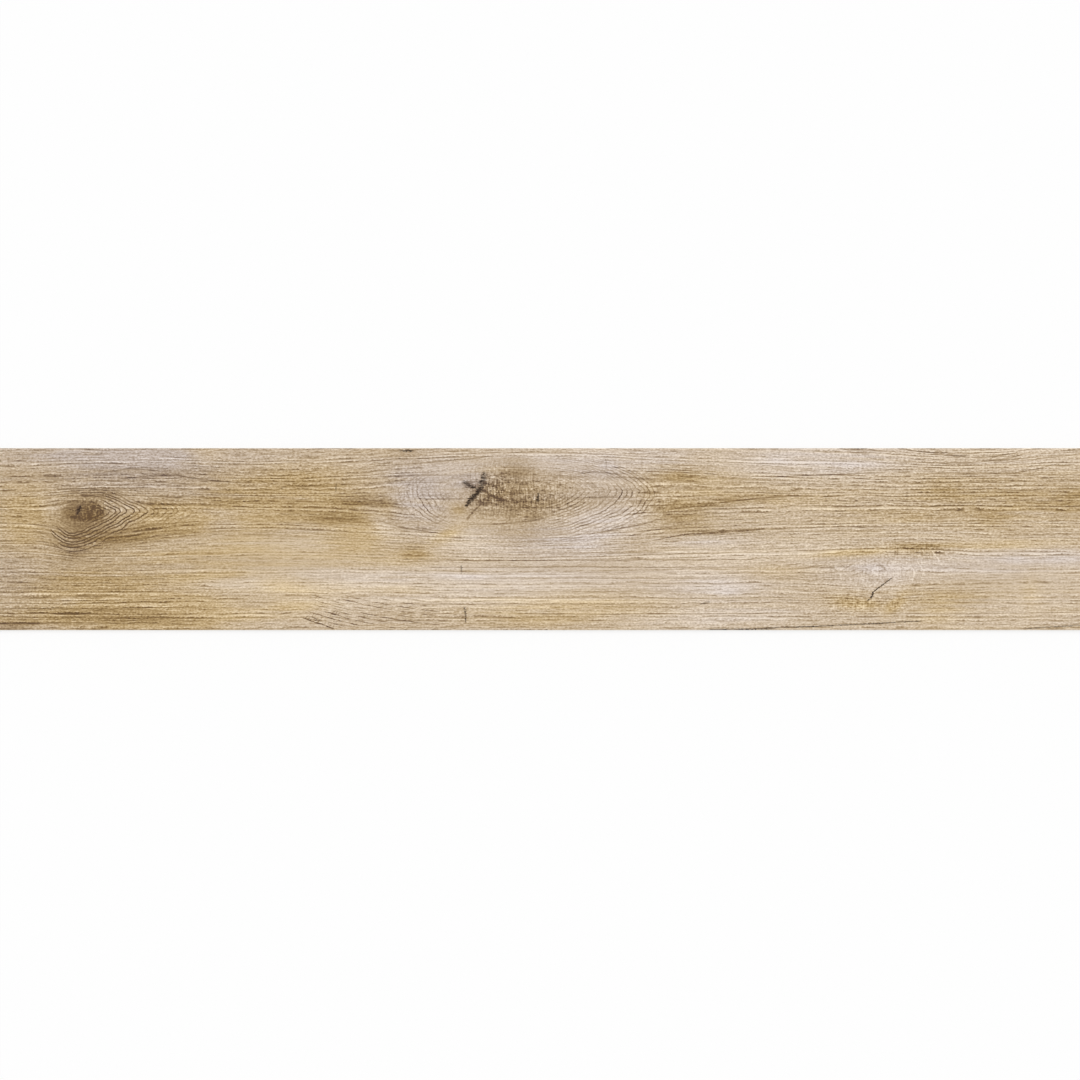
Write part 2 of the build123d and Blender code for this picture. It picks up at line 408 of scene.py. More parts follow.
def streak_noise(u, v, length, width, seed):
    """Random values on a lattice of cells length by width, eased from corner to corner, between 0 and 1."""
    cells = 256
    values = np.random.default_rng(seed).random((cells, cells))
    along, across = u / length, v / width
    i, j = np.floor(along).astype(int), np.floor(across).astype(int)
    a, b = ease(along - i), ease(across - j)
    i, j, i_next, j_next = i % cells, j % cells, (i + 1) % cells, (j + 1) % cells
    near = values[i, j] * (1 - a) + values[i_next, j] * a
    far = values[i, j_next] * (1 - a) + values[i_next, j_next] * a
    return near * (1 - b) + far * b


def bell(x, y, place):
    """Bell over a place on the face: e to the minus squared elliptic distance from its middle."""
    return np.exp(-(((x - place.x) / place.half_length) ** 2) - ((y - place.y) / place.half_width) ** 2)


def patch_radius(x, y, patch):
    """Distance from a patch's middle in parts of its half sizes, its length tilted by its rise."""
    lift = y - patch.y - patch.rise * (x - patch.x)
    return np.hypot((x - patch.x) / patch.half_length, lift / patch.half_width)


def grain_across(x, y):
    """Coordinate whose level lines are the fibres.

    It is y, less what parts and lifts the lines at each bulge and swell, plus a slow wander.
    """
    across = y + 2.4 * (streak_noise(x, y, 190, 34, 11) - 0.5) + 1.0 * (streak_noise(x, y, 60, 15, 12) - 0.5)
    for bulge in BULGES:
        out, lift = x - bulge.x, y - bulge.y
        along = out / np.where(out < 0, bulge.left, bulge.right)
        up = lift / np.where(lift < 0, bulge.below, bulge.above)
        across = across - bulge.share * lift * np.exp(-(along**2) - up**2)
    for swell in SWELLS:
        across = across - swell.lift * bell(x, y, swell)
    return across


def dash_across(x, y, across):
    """Like the fibres' coordinate, but tilted at each slant, for the dashes that cross the lines there."""
    for slant in SLANTS:
        across = across - slant.slope * (x - slant.x) * bell(x, y, slant)
    return across


def knot_rings(x, y):
    """Ring count of the left knot: the greatest count that any side of the outline gives, corners rounded.

    A side counts spacings from its start, along its heading. The log of a sum of exponentials is the rounded
    greatest of them.
    """
    total = np.zeros_like(x)
    for side in KNOT_SIDES:
        heading = math.radians(side.heading)
        out = (x - KNOT_MIDDLE[0]) * math.cos(heading) + (y - KNOT_MIDDLE[1]) * math.sin(heading)
        total = total + np.exp(KNOT_SHARPNESS * np.clip((out - side.start) / side.spacing, -20, 60))
    return np.log(total) / KNOT_SHARPNESS


def oval_radius(x, y, middle, half, point):
    """Radius of a pointed oval in parts of its half sizes: a straight term in y draws its ends to points."""
    along = (x - middle[0]) / half[0]
    across = np.abs(y - middle[1])
    reach = np.where(y < middle[1], half[1], half[2])
    return np.sqrt(along**2 + (across**2 + 2 * point * across) / (reach**2 + 2 * point * reach))


def ring_fields(x, y):
    """Ring count from the nearest eye of the grain, the rings' pitch and show, and what lies inside an eye.

    The pitch is one over the steepness of the count, in millimetres.
    """
    wander = streak_noise(x, y, 55, 22, 21) - 0.5
    quiver = streak_noise(x, y, 11, 6, 22) - 0.5

    # Left knot: most at the lower right, less close under the heart, with uneven ends at the left and a tail
    out_x, out_y = x - KNOT_MIDDLE[0], y - KNOT_MIDDLE[1]
    knot = knot_rings(x, y)
    toward = np.maximum(ease((0.55 * out_x - out_y) / 24 + 0.25), ease((0.9 * out_x - out_y) / 24 + 0.35))
    facing = 0.12 + 1.12 * toward + 0.25 * ease(out_x / 24 - 0.5) + 0.75 * ease((-out_y - 14) / 14)
    below = 1 - 0.75 * (1 - ease((knot - 1.8) / 1.0)) * ease((-out_y - 6) / 6) * (1 - ease((out_x + 4) / 14))
    body = ease((knot + 0.6) / 0.6) * (1 - ease((knot - KNOT_LAST_RING) / 0.9)) * facing * below
    body = body * (1 - ease((-out_x - 26 + 7 * np.sin(2.1 * knot)) / 13))
    tail = 0.42 * ease((out_x - 48) / 25) * (1 - ease((np.abs(out_y) - 8) / 12))
    tail = tail * (1 - ease((knot - 13.6) / 1.2))
    knot_shows = np.maximum(body, tail)

    # Cathedral: at its right and left, less towards the upper side and at the inner tips of the right rings
    side = ease((x - CATHEDRAL_MIDDLE[0]) / 90 + 0.5)
    point = CATHEDRAL_POINTS[0] * (1 - side) + CATHEDRAL_POINTS[1] * side
    cathedral = oval_radius(x, y, CATHEDRAL_MIDDLE, CATHEDRAL_HALF, point)
    tips = np.exp(-(((x - 44) / 36) ** 2) - ((y - 57) / 14) ** 2)
    right = 0.74 * ease((x + 5) / 45) + 0.30 * ease((x - 68) / 24)
    right = right * (1 - 0.3 * ease((y - 44) / 24)) * (1 - 0.85 * tips)
    left = 0.74 * (1 - ease((x + 130) / 38)) * (1 - 0.75 * ease((y - 49) / 14))
    ring_band = ease((cathedral - 0.20) / 0.2) * (1 - ease((cathedral - 0.86 - 0.07 * side) / 0.20))
    cathedral_shows = (0.05 + right + left) * ring_band

    # Curl: faint rings near its middle
    curl = oval_radius(x, y, CURL_MIDDLE, CURL_HALF, 0.0)
    curl_shows = 0.22 * (1 - ease((curl - 0.5) / 0.5))

    # Counts with their wander, and the count, pitch and show of whichever eye is strongest
    counts = np.stack((
        knot + 0.12 * np.sin(2.3 * knot) + 1.0 * wander + 0.7 * quiver,
        cathedral * CATHEDRAL_RINGS + 0.14 * np.sin(31 * cathedral) + 1.5 * wander + 0.5 * quiver,
        curl * CURL_RINGS + 2.5 * wander + 2.6 * quiver,
    ))
    uneven = streak_noise(counts + 0.15, np.zeros_like(counts), 1, 1, 23)
    shows = np.stack((knot_shows, cathedral_shows, curl_shows)) * (0.55 + 0.9 * uneven)
    along, up = np.gradient(counts, x[:, 0], y[0], axis=(1, 2))
    pitches = 1 / np.maximum(np.hypot(along, up), 0.08)
    strongest = shows.argmax(axis=0)[None]
    chosen = [np.take_along_axis(field, strongest, axis=0)[0] for field in (counts, pitches, shows)]
    in_heart = 1 - ease(knot / 1.2)
    in_knot = np.maximum(toward * (1 - ease((knot - KNOT_LAST_RING + 0.4) / 1.2)), in_heart)
    in_cathedral = 0.65 * (1 - ease((cathedral - 0.85) / 0.2))
    in_curl = 0.6 * (1 - ease((curl - 0.6) / 0.4))
    inside = np.maximum(np.maximum(in_knot, in_cathedral), in_curl)
    return np.stack(chosen, axis=-1), inside


def tone_fields(x, y, across):
    """Lightness, warmth and grain strength of the print: a slow drift along the plank plus the patches.

    Streaks along the grain thin each patch out or thicken it, so that its edge frays as stain does in wood.
    """
    lightness = PLAIN_LIGHTNESS + LIGHTNESS_DRIFT * x / HALF_LENGTH
    warmth = np.full_like(x, PLAIN_WARMTH)
    fray = 0.30 + 0.8 * streak_noise(x, across, 80, 3.2, 31) + 0.6 * streak_noise(x, across, 26, 5.0, 32)
    for patch in PATCHES:
        weight = PATCH_GAIN * np.exp(-0.8 * patch_radius(x, y, patch) ** 2) * fray
        lightness = lightness + patch.lightness * weight
        warmth = warmth + patch.warmth * weight
    for spot in SPOTS:
        weight = 1 - ease((patch_radius(x, y, spot) - 0.75) / 0.5)
        lightness = lightness + spot.lightness * weight
        warmth = warmth + spot.warmth * weight
    strength = np.full_like(x, PLAIN_STRENGTH)
    for place in GRAIN_STRENGTHS:
        strength = strength + place.gain * bell(x, y, place)
    return lightness, warmth, strength


def strongest_of(x, y, places):
    """The strongest of the places' bells at each point."""
    field = np.zeros_like(x)
    for place in places:
        field = np.maximum(field, place.gain * bell(x, y, place))
    return field


def crack_fields(x, y, cracks, reach):
    """Offset from the nearest crack, positive on its left, with that crack's half width and darkness.

    The offset is measured square to the nearest piece of the line, so it runs through zero on the crack, and
    the darkness fades past the line's ends and, from so many half widths, away from it.
    """
    nearest = np.full_like(x, 1e9)
    offset, half_width, dark = np.full_like(x, 1e3), np.ones_like(x), np.zeros_like(x)
    for crack in cracks:
        for start, end in zip(crack.points[:-1], crack.points[1:]):
            length = math.hypot(end[0] - start[0], end[1] - start[1])
            heading = ((end[0] - start[0]) / length, (end[1] - start[1]) / length)
            along = (x - start[0]) * heading[0] + (y - start[1]) * heading[1]
            side = (y - start[1]) * heading[0] - (x - start[0]) * heading[1]
            held = np.clip(along, 0, length)
            distance = np.hypot(side, along - held)
            width = start[2] + (end[2] - start[2]) * held / length
            fade = 1 - ease(np.abs(along - held) / END_FADE)
            fade = fade * (1 - ease((np.abs(side) - reach * width) / SIDE_FADE))
            closer = distance < nearest
            nearest = np.where(closer, distance, nearest)
            offset = np.where(closer, side, offset)
            half_width = np.where(closer, width, half_width)
            dark = np.where(closer, crack.dark * fade, dark)
    return np.stack((offset, half_width, dark), axis=-1)


# Depths of brushed valleys, rings and cracks, in parts of the relief setting, and how much wider a
# groove is on each side than its crack
VALLEY_DEPTH = 0.20
RING_DEPTH = 0.10
CRACK_DEPTH = 0.30
GROOVE_MARGIN = 0.9


def relief(x, across, eyes, cracks):
    """Depth of the pressed face below its top plane, in parts of the relief setting.

    Brushed valleys follow the fibres, each ring leaves a shallow step, and a crack is a smooth groove.
    """
    valley = streak_noise(x, across, 140, 4.6, 41) * 0.6 + streak_noise(x, across, 55, 2.9, 42) * 0.4
    depth = VALLEY_DEPTH * ease((valley - 0.25) / 0.6)
    depth = depth + RING_DEPTH * eyes[..., 2] * (0.5 - 0.5 * np.cos(2 * math.pi * eyes[..., 0]))
    for crack in cracks:
        groove = np.exp(-((crack[..., 0] / (crack[..., 1] + GROOVE_MARGIN)) ** 2)) * crack[..., 2]
        depth = depth + CRACK_DEPTH * groove
    return depth


# Mesh of the tile

def stations(columns):
    """Places of the grid columns along the face, closer together in the detailed stretches.

    A density of one plus a flat bell for each stretch is summed along the face and cut into equal shares.
    The column nearest the middle is put on it, where the bake map is parted.
    """
    samples = 8001
    fine = np.linspace(-1, 1, samples) * HALF_LENGTH
    density = np.ones_like(fine)
    for stretch in DETAILED_STRETCHES:
        density += stretch.gain * np.exp(-(((fine - stretch.x) / stretch.reach) ** 4))
    summed = np.concatenate(((0,), np.cumsum((density[1:] + density[:-1]) / 2)))
    places = np.interp(np.linspace(0, summed[-1], columns + 1), summed, fine)
    places[np.abs(places).argmin()] = 0
    return places


def packed_back():
    """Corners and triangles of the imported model's back: its honeycomb, rail and lower arris, merged."""
    shell = bmesh.new()
    shell.from_mesh(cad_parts[TILE_NODE].data)
    bmesh.ops.remove_doubles(shell, verts=shell.verts, dist=1e-6)
    middle = THICKNESS * MM / 2
    bevel_foot = min(corner.co.z for corner in shell.verts if corner.co.z > middle) / MM
    upper = [face for face in shell.faces if max(corner.co.z for corner in face.verts) > middle]
    bmesh.ops.delete(shell, geom=upper, context="FACES")
    back = bpy.data.meshes.new("packed_back")
    shell.to_mesh(back)
    shell.free()
    corners = np.empty(len(back.vertices) * 3, np.float32)
    back.vertices.foreach_get("co", corners)
    triangles = np.empty(len(back.loops), np.int32)
    back.loops.foreach_get("vertex_index", triangles)
    if len(triangles) != 3 * len(back.polygons):
        raise RuntimeError("the packed back is not made of triangles")
    bpy.data.meshes.remove(back)
    return corners.reshape(-1, 3).astype(float) / MM, triangles.reshape(-1, 3), bevel_foot


def perimeter(columns, rows):
    """Indices of the grid's outer corners, once round anticlockwise seen from above, from the lower left."""
    index = np.arange((columns + 1) * (rows + 1)).reshape(columns + 1, rows + 1)
    return np.concatenate((index[:-1, 0], index[-1, :-1], index[:0:-1, -1], index[0, :0:-1]))


def bake_map(mesh, region):
    """Lays the piece out flat for baking: the face in two halves, then the back, then the four sides."""
    totals = np.empty(len(mesh.polygons), np.int32)
    mesh.polygons.foreach_get("loop_total", totals)
    corner_of = np.empty(len(mesh.loops), np.int32)
    mesh.loops.foreach_get("vertex_index", corner_of)
    places = np.empty(len(mesh.vertices) * 3, np.float32)
    mesh.vertices.foreach_get("co", places)
    x, y, z = (places.reshape(-1, 3)[corner_of] / MM).T
    region = np.repeat(region, totals)
    gap = 0.006
    long_half, whole = HALF_LENGTH * (1 + 2 * gap), 2 * HALF_LENGTH * (1 + 2 * gap)
    half_strip = 2 * HALF_WIDTH / long_half + gap
    back_strip = 2 * HALF_WIDTH / whole + gap
    edge_strip = THICKNESS / long_half + gap
    side_foot = 2 * half_strip + back_strip + gap
    spots = (
        ((x + HALF_LENGTH) / long_half, (y + HALF_WIDTH) / long_half),
        (x / long_half, (y + HALF_WIDTH) / long_half + half_strip),
        ((x + HALF_LENGTH) / whole, (y + HALF_WIDTH) / whole + 2 * half_strip),
        ((x + HALF_LENGTH) / whole, z / long_half + side_foot),
        ((y + HALF_WIDTH) / whole, z / long_half + side_foot + 2 * edge_strip),
        ((x + HALF_LENGTH) / whole, z / long_half + side_foot + edge_strip),
        ((y + HALF_WIDTH) / whole + 0.5, z / long_half + side_foot + 2 * edge_strip),
    )
    across = np.select([region == k for k in range(len(spots))], [spot[0] for spot in spots])
    up = np.select([region == k for k in range(len(spots))], [spot[1] for spot in spots])
    layer = mesh.uv_layers.new(name="OFBake")
    layer.uv.foreach_set("vector", (np.stack((across, up), axis=-1) + gap / 2).astype(np.float32).ravel())


# Edges that turn by more degrees than this are drawn sharp
SHARP_ANGLE = 35


def tile_mesh(settings):
    """The tile's closed skin with its fields as attributes.

    The face is a grid set in by the bevel and sunk by the relief, its outer ring scaled out to the sides
    gives the bevel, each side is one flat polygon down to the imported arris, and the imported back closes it.
    """
    columns, rows = settings.columns, settings.rows
    back_corners, back_triangles, bevel_foot = packed_back()
    bevel = THICKNESS - bevel_foot
    inset = ((HALF_LENGTH - bevel) / HALF_LENGTH, (HALF_WIDTH - bevel) / HALF_WIDTH)
    along, aside = stations(columns) * inset[0], np.linspace(-1, 1, rows + 1) * HALF_WIDTH * inset[1]
    x, y = np.meshgrid(along, aside, indexing="ij")

    across = grain_across(x, y)
    eyes, inside = ring_fields(x, y)
    lightness, warmth, strength = tone_fields(x, y, across)
    rough, pores = strongest_of(x, y, ROUGH_PLACES), strongest_of(x, y, PORE_PLACES)
    growth = np.maximum(strongest_of(x, y, GROWTH_PLACES), FAINT_GROWTH)
    cracks = [crack_fields(x, y, group, CRACK_REACH) for group in CRACKS]
    strokes = crack_fields(x, y, STROKES + slanted_dashes() + level_lines(), STROKE_REACH)
    depth = relief(x, across, eyes, cracks)
    z = THICKNESS - np.minimum(depth, 1.0) * settings.relief / MM
    face = np.stack((x, y, z), axis=-1).reshape(-1, 3)

    ring = perimeter(columns, rows)
    sides = face[ring] / (inset[0], inset[1], 1)
    sides[:, 2] = bevel_foot
    first_side, first_back = len(face), len(face) + len(ring)
    corners = np.concatenate((face, sides, back_corners))

    index = np.arange(len(face)).reshape(columns + 1, rows + 1)
    quads = np.stack((index[:-1, :-1], index[1:, :-1], index[1:, 1:], index[:-1, 1:]), axis=-1).reshape(-1, 4)
    rim = np.arange(len(ring)) + first_side
    bevels = np.stack((rim, np.roll(rim, -1), np.roll(ring, -1), ring), axis=-1)
    turns = np.cumsum((0, columns, rows, columns, rows))
    walls = []
    for start, end in zip(turns[:-1], turns[1:]):
        run = rim[np.arange(start, end + 1) % len(rim)]
        tops = [(*corners[top][:2], bevel_foot) for top in (run[0], run[-1])]
        low = [int(np.abs(back_corners - top).sum(axis=1).argmin()) + first_back for top in tops]
        walls.append(low + run[::-1].tolist())
    polygons = quads.tolist() + bevels.tolist() + walls + (back_triangles + first_back).tolist()

    mesh = bpy.data.meshes.new("wood_look_tile")
    mesh.from_pydata(corners * MM, [], polygons)
    counts = (len(quads) + len(bevels), len(walls), len(back_triangles))
    mesh.polygons.foreach_set("material_index", np.repeat((0, 1, 2), counts).astype(np.int32))
    mesh.polygons.foreach_set("use_smooth", np.ones(sum(counts), bool))
    mesh.set_sharp_from_angle(angle=math.radians(SHARP_ANGLE))

    middles = np.concatenate((face[quads][..., 0].mean(axis=1), corners[bevels][..., 0].mean(axis=1)))
    region = np.concatenate(((middles > 0).astype(int), np.arange(3, 7), np.full(len(back_triangles), 2)))
    bake_map(mesh, region)

    fields = {
        "grain": np.stack((across, dash_across(x, y, across), inside), axis=-1),
        "eyes": eyes,
        "tone": np.stack((lightness, warmth, strength), axis=-1),
        "marks": np.stack((rough, pores, growth), axis=-1),
        "crack_one": cracks[0],
        "crack_two": cracks[1],
        "stroke": strokes,
    }
    for name, field in fields.items():
        values = np.zeros((len(corners), 3), np.float32)
        values[:first_side] = field.reshape(-1, 3)
        values[first_side:first_back] = values[ring]
        mesh.attributes.new(name, "FLOAT_VECTOR", "POINT").data.foreach_set("vector", values.ravel())
    mesh.validate()
    mesh.update()
    return mesh


# Materials

class Signal:
    """A node's output that takes sums, products and steps, so that a pattern reads like a formula."""

    def __init__(self, tree, socket):
        self.tree = tree
        self.socket = socket

    def math(self, operation, *others):
        """Math node with this signal first."""
        node = self.tree.nodes.new("ShaderNodeMath")
        node.operation = operation
        for socket, value in zip(node.inputs, (self, *others)):
            plug(self.tree, socket, value)
        return Signal(self.tree, node.outputs[0])

    def __add__(self, other):
        return self.math("ADD", other)

    def __sub__(self, other):
        return self.math("SUBTRACT", other)

    def __mul__(self, other):
        return self.math("MULTIPLY", other)

    def __truediv__(self, other):
        return self.math("DIVIDE", other)

    def step(self, low, high, bottom=0.0, top=1.0):
        """Smooth step from bottom to top as the signal goes from low to high."""
        node = self.tree.nodes.new("ShaderNodeMapRange")
        node.interpolation_type = "SMOOTHSTEP"
        for socket, value in zip(node.inputs, (self, low, high, bottom, top)):
            plug(self.tree, socket, value)
        return Signal(self.tree, node.outputs[0])


def plug(tree, socket, value):
    """Links a signal or an output to a socket, or sets the socket to a plain value."""
    if isinstance(value, Signal):
        tree.links.new(value.socket, socket)
    elif isinstance(value, bpy.types.NodeSocket):
        tree.links.new(value, socket)
    else:
        socket.default_value = value


def parts_of(tree, vector):
    """The three parts of a vector output as signals."""
    node = tree.nodes.new("ShaderNodeSeparateXYZ")
    tree.links.new(vector, node.inputs[0])
    return [Signal(tree, output) for output in node.outputs]


def place_of(tree):
    """Place on the piece along x, y and z, in millimetres."""
    node = tree.nodes.new("ShaderNodeTexCoord")
    return [part / MM for part in parts_of(tree, node.outputs["Object"])]


def field_of(tree, name):
    """The three parts of one of the mesh's fields."""
    node = tree.nodes.new("ShaderNodeAttribute")
    node.attribute_name = name
    return parts_of(tree, node.outputs["Vector"])


def noise(tree, u, v, length, width, seed, detail=1.0):
    """Noise about zero, drawn out to cells length by width along u and v."""
    join = tree.nodes.new("ShaderNodeCombineXYZ")
    for socket, value in zip(join.inputs, (u / length, v / width, seed)):
        plug(tree, socket, value)
    node = tree.nodes.new("ShaderNodeTexNoise")
    plug(tree, node.inputs["Vector"], join.outputs[0])
    node.inputs["Scale"].default_value = 1.0
    node.inputs["Detail"].default_value = detail
    node.inputs["Roughness"].default_value = 0.55
    return Signal(tree, node.outputs[0]) - 0.5


def ramp(tree, level, stops):
    """Colour ramp through stops of level and linear colour."""
    node = tree.nodes.new("ShaderNodeValToRGB")
    plug(tree, node.inputs[0], level)
    elements = node.color_ramp.elements
    while len(elements) < len(stops):
        elements.new(1.0)
    for element, (place, colour) in zip(elements, stops):
        element.position = place
        element.color = (*colour, 1.0)
    return node.outputs[0]


def blend(tree, share, first, second):
    """Mix of two colours by a share."""
    node = tree.nodes.new("ShaderNodeMix")
    node.data_type = "RGBA"
    plug(tree, node.inputs["Factor"], share)
    for socket, value in zip([s for s in node.inputs if s.type == "RGBA"], (first, second)):
        plug(tree, socket, value if not isinstance(value, tuple) else (*value, 1.0))
    return next(output for output in node.outputs if output.type == "RGBA")


def new_material(name):
    """A material with an empty tree, its surface shader, and the shader's links to the output made."""
    material = bpy.data.materials.new(name)
    material.use_nodes = True
    tree = material.node_tree
    tree.nodes.clear()
    shader = tree.nodes.new("ShaderNodeBsdfPrincipled")
    output = tree.nodes.new("ShaderNodeOutputMaterial")
    tree.links.new(shader.outputs[0], output.inputs["Surface"])
    return material, tree, shader


def bump(tree, shader, height, distance):
    """Bump from a height signal, of a given full depth in millimetres."""
    node = tree.nodes.new("ShaderNodeBump")
    node.inputs["Distance"].default_value = distance * MM
    plug(tree, node.inputs["Height"], height)
    tree.links.new(node.outputs[0], shader.inputs["Normal"])


# Distances from the middle of a printed line at which it is still full and at which it has gone, the share
# of its darkness by which the wood beside it is paler, and the most that lines darken where they overlap
LINE_CORE = 0.25
LINE_EDGE = 0.95
LINE_HALO = 0.16
LINE_LIMIT = 0.26

# Spacings of growth lines, long threads, short dashes, pale lines, and the marks across the grain
GROWTH_SPACING = 5.6
THREAD_SPACING = 3.8
DASH_SPACING = 3.1
PALE_SPACING = 4.5
HATCH_SPACING = 2.9


def tracks(tree, u, v, spacing, wander, length, seed):
    """Thin lines along u, one every spacing across v, each of which shows and fades along its own length."""
    count = v / spacing + wander
    row = count.math("FLOOR")
    apart = (count - row - 0.5).math("ABSOLUTE") * spacing
    show = noise(tree, u, row * 1.37, length, 1.0, seed, 1.0)
    return apart.step(LINE_CORE, LINE_EDGE, 1.0, -LINE_HALO) * show.step(-0.14, 0.17)


# The darkest that the print gets outside a crack, on the scale of the colour ramps
DARKEST_PRINT = 0.25


def printed_glaze(colours):
    """Matt glaze with the wood print: fibres, growth lines, pores, rings and cracks over the tone patches."""
    material, tree, shader = new_material("printed_glaze")
    v, dash_v, inside = field_of(tree, "grain")
    rings, ring_pitch, rings_show = field_of(tree, "eyes")
    lightness, warmth, strength = field_of(tree, "tone")
    rough, pores, growth_shows = field_of(tree, "marks")
    x, y, _ = place_of(tree)

    # Weights are steps on the ramps' scale from 0 to 1, and lengths are millimetres
    open_grain = inside.step(0.0, 1.0, 1.0, 0.08)
    fibre = noise(tree, x, v, 12, 1.5, 1.0, 1.0)
    streak = noise(tree, x, v, 240, 8.0, 4.0, 2.0)
    tint = noise(tree, x, v, 110, 5.0, 5.0, 2.0)
    grit = noise(tree, x, y, 2.7, 1.6, 7.0, 1.0)
    cross = noise(tree, x, y, 2.1, 10.0, 8.0, 1.0)
    curly = noise(tree, x, y, 9.0, 1.8, 9.0, 1.0)
    cloud = noise(tree, x, y, 26, 12, 10.0, 1.0)

    shift = noise(tree, x, v, 45, 7.0, 16.0, 1.0)
    wander = streak * 0.9 + shift * 0.7 + grit * 0.22
    growth = tracks(tree, x, v, GROWTH_SPACING, wander, 60, 11.0)
    threads = tracks(tree, x, v, THREAD_SPACING, wander * 1.5, 17, 12.0)
    dashes = tracks(tree, x, dash_v, DASH_SPACING, wander * 1.8, 8, 13.0)
    pale = tracks(tree, x, v, PALE_SPACING, wander * 1.3, 26, 14.0)
    hatch = tracks(tree, y, x, HATCH_SPACING, grit * 1.5 + cloud * 2.0, 6, 15.0)
    speck = curly.step(0.02, 0.20)
    lines = (threads * 0.18 + growth * growth_shows * 0.26) * strength + dashes * (pores * 0.20 + 0.10)
    lines = lines.math("MINIMUM", LINE_LIMIT) * open_grain
    fine = (fibre * 0.15 + pale * 0.09 + 0.01) * open_grain + grit * inside.step(0.0, 1.0, 0.43, 0.36)
    fine = (fine + curly * inside * 0.20 + 0.01) * strength - lines
    level = lightness + streak * 0.06 + fine + growth_shows * 0.012
    level = level + (cross * 0.27 + fibre * 0.24 + grit * 0.12 - hatch * 0.08 - speck * 0.15 + 0.048) * rough

    phase = rings + curly * 0.40 + grit * 0.34 + cross * 0.15 + 0.65
    apart = (phase.math("FRACT") - 0.5).math("ABSOLUTE") * ring_pitch
    ring_line = apart.step(LINE_CORE, LINE_EDGE, 1.0, -LINE_HALO) * rings_show
    ring_dark = (curly * 0.5 + grit * 0.5 + cloud * 0.6 + 0.20).math("MAXIMUM", 0.02)
    level = level - ring_line * ring_dark + rings_show * 0.005

    offset, half_width, depth = field_of(tree, "stroke")
    apart = (offset / half_width + curly * 1.8 + grit * 2.2).math("ABSOLUTE")
    stroke = apart.step(0.3, 1.4, 1.0, 0.0) * depth
    level = (level - stroke * (grit * 1.1 + curly * 0.5 + 0.36)).math("MAXIMUM", DARKEST_PRINT)
    dark = None
    for name in ("crack_one", "crack_two"):
        offset, half_width, depth = field_of(tree, name)
        apart = (offset / half_width + curly * 2.6 + grit * 3.6).math("ABSOLUTE")
        shade = apart.step(0.55, 1.30, 1.0, 0.0) * depth * (curly * 2.2 + grit * 2.4 + 1.0)
        level = level - apart.step(0.0, 3.0, 0.06, 0.0) * depth
        dark = shade if dark is None else dark.math("MAXIMUM", shade)

    warm = warmth + tint * 0.45
    ash = ramp(tree, level, colours.stops("ash"))
    honey = ramp(tree, level, colours.stops("honey"))
    wood = blend(tree, warm, ash, honey)
    wood = blend(tree, dark * 0.92, wood, tuple(colours.crack))
    plug(tree, shader.inputs["Base Color"], wood)
    plug(tree, shader.inputs["Roughness"], level.step(0.35, 0.85, 0.70, 0.52))
    plug(tree, shader.inputs["Specular IOR Level"], dark.step(0.0, 1.0, 0.35, 0.05))
    bump(tree, shader, fine - dark * 0.8 - ring_line * 0.15, 0.3)
    return material


# Depths below the face between which the line of cut glaze ends on the sides
GLAZE_GONE = 1.25
GLAZE_FULL = 1.1


def ground_edge(colours):
    """Ground side: the pale body with specks and fine wheel marks along it, under a thin line of glaze."""
    material, tree, shader = new_material("ground_edge")
    x, y, z = place_of(tree)
    run = x + y
    speck = noise(tree, run, z, 0.9, 0.9, 1.0, 2.0)
    wheel = noise(tree, run, z, 60.0, 0.35, 2.0, 1.5)
    cloud = noise(tree, run, z, 30.0, 12.0, 3.0, 2.0)
    level = speck * 0.5 + wheel * 0.22 + cloud * 0.25 + 0.5
    body = blend(tree, level, tuple(colours.body_dark), tuple(colours.body_pale))
    glaze = (z + wheel * 0.25).step(THICKNESS - GLAZE_GONE, THICKNESS - GLAZE_FULL)
    plug(tree, shader.inputs["Base Color"], blend(tree, glaze, body, tuple(colours.glaze_line)))
    plug(tree, shader.inputs["Roughness"], speck.step(-0.3, 0.3, 0.85, 0.68))
    shader.inputs["Specular IOR Level"].default_value = 0.35
    bump(tree, shader, wheel * 0.6 + speck * 0.4, 0.08)
    return material


def pressed_back(colours):
    """Pressed back: the unglazed body with specks, and a dusting of white kiln wash on its ribs."""
    material, tree, shader = new_material("pressed_back")
    x, y, z = place_of(tree)
    speck = noise(tree, x, y, 1.1, 1.1, 1.0, 2.0)
    cloud = noise(tree, x, y, 70.0, 45.0, 2.0, 3.0)
    brush = noise(tree, x, y, 160.0, 2.2, 3.0, 2.0)
    level = speck * 0.55 + cloud * 0.45 + 0.5
    body = blend(tree, level, tuple(colours.body_dark), tuple(colours.body_pale))
    wash = z.step(0.02, 0.20, 1.0, 0.0) * (brush * 1.6 + cloud * 1.2 + speck * 0.9 + 0.30).step(0.0, 1.0)
    plug(tree, shader.inputs["Base Color"], blend(tree, wash * 0.8, body, tuple(colours.kiln_wash)))
    shader.inputs["Roughness"].default_value = 0.88
    shader.inputs["Specular IOR Level"].default_value = 0.25
    bump(tree, shader, speck * 0.7 + brush * 0.3, 0.12)
    return material


# Settings

# Places of a family's six colours on the ramps' scale, from the darkest to the palest
PALE_LEVELS = (0.16, 0.275, 0.43, 0.59, 0.745, 0.86)


class TileFaceSettings(PropertyGroup):
    """Size of the face's grid and relief."""

    columns: IntProperty(name="Columns", description="Grid columns along the face", default=600, min=50)
    rows: IntProperty(name="Rows", description="Grid rows across the face", default=150, min=20)
    relief: FloatProperty(
        name="Relief", description="Depth of the deepest grain below the face",
        default=0.5 * MM, unit="LENGTH",
    )


def colour(name, description, red, green, blue):
    """A colour setting, its default written in screen steps."""
    return FloatVectorProperty(
        name=name, description=description, subtype="COLOR", min=0.0, max=1.0,
        default=linear(red, green, blue),
    )


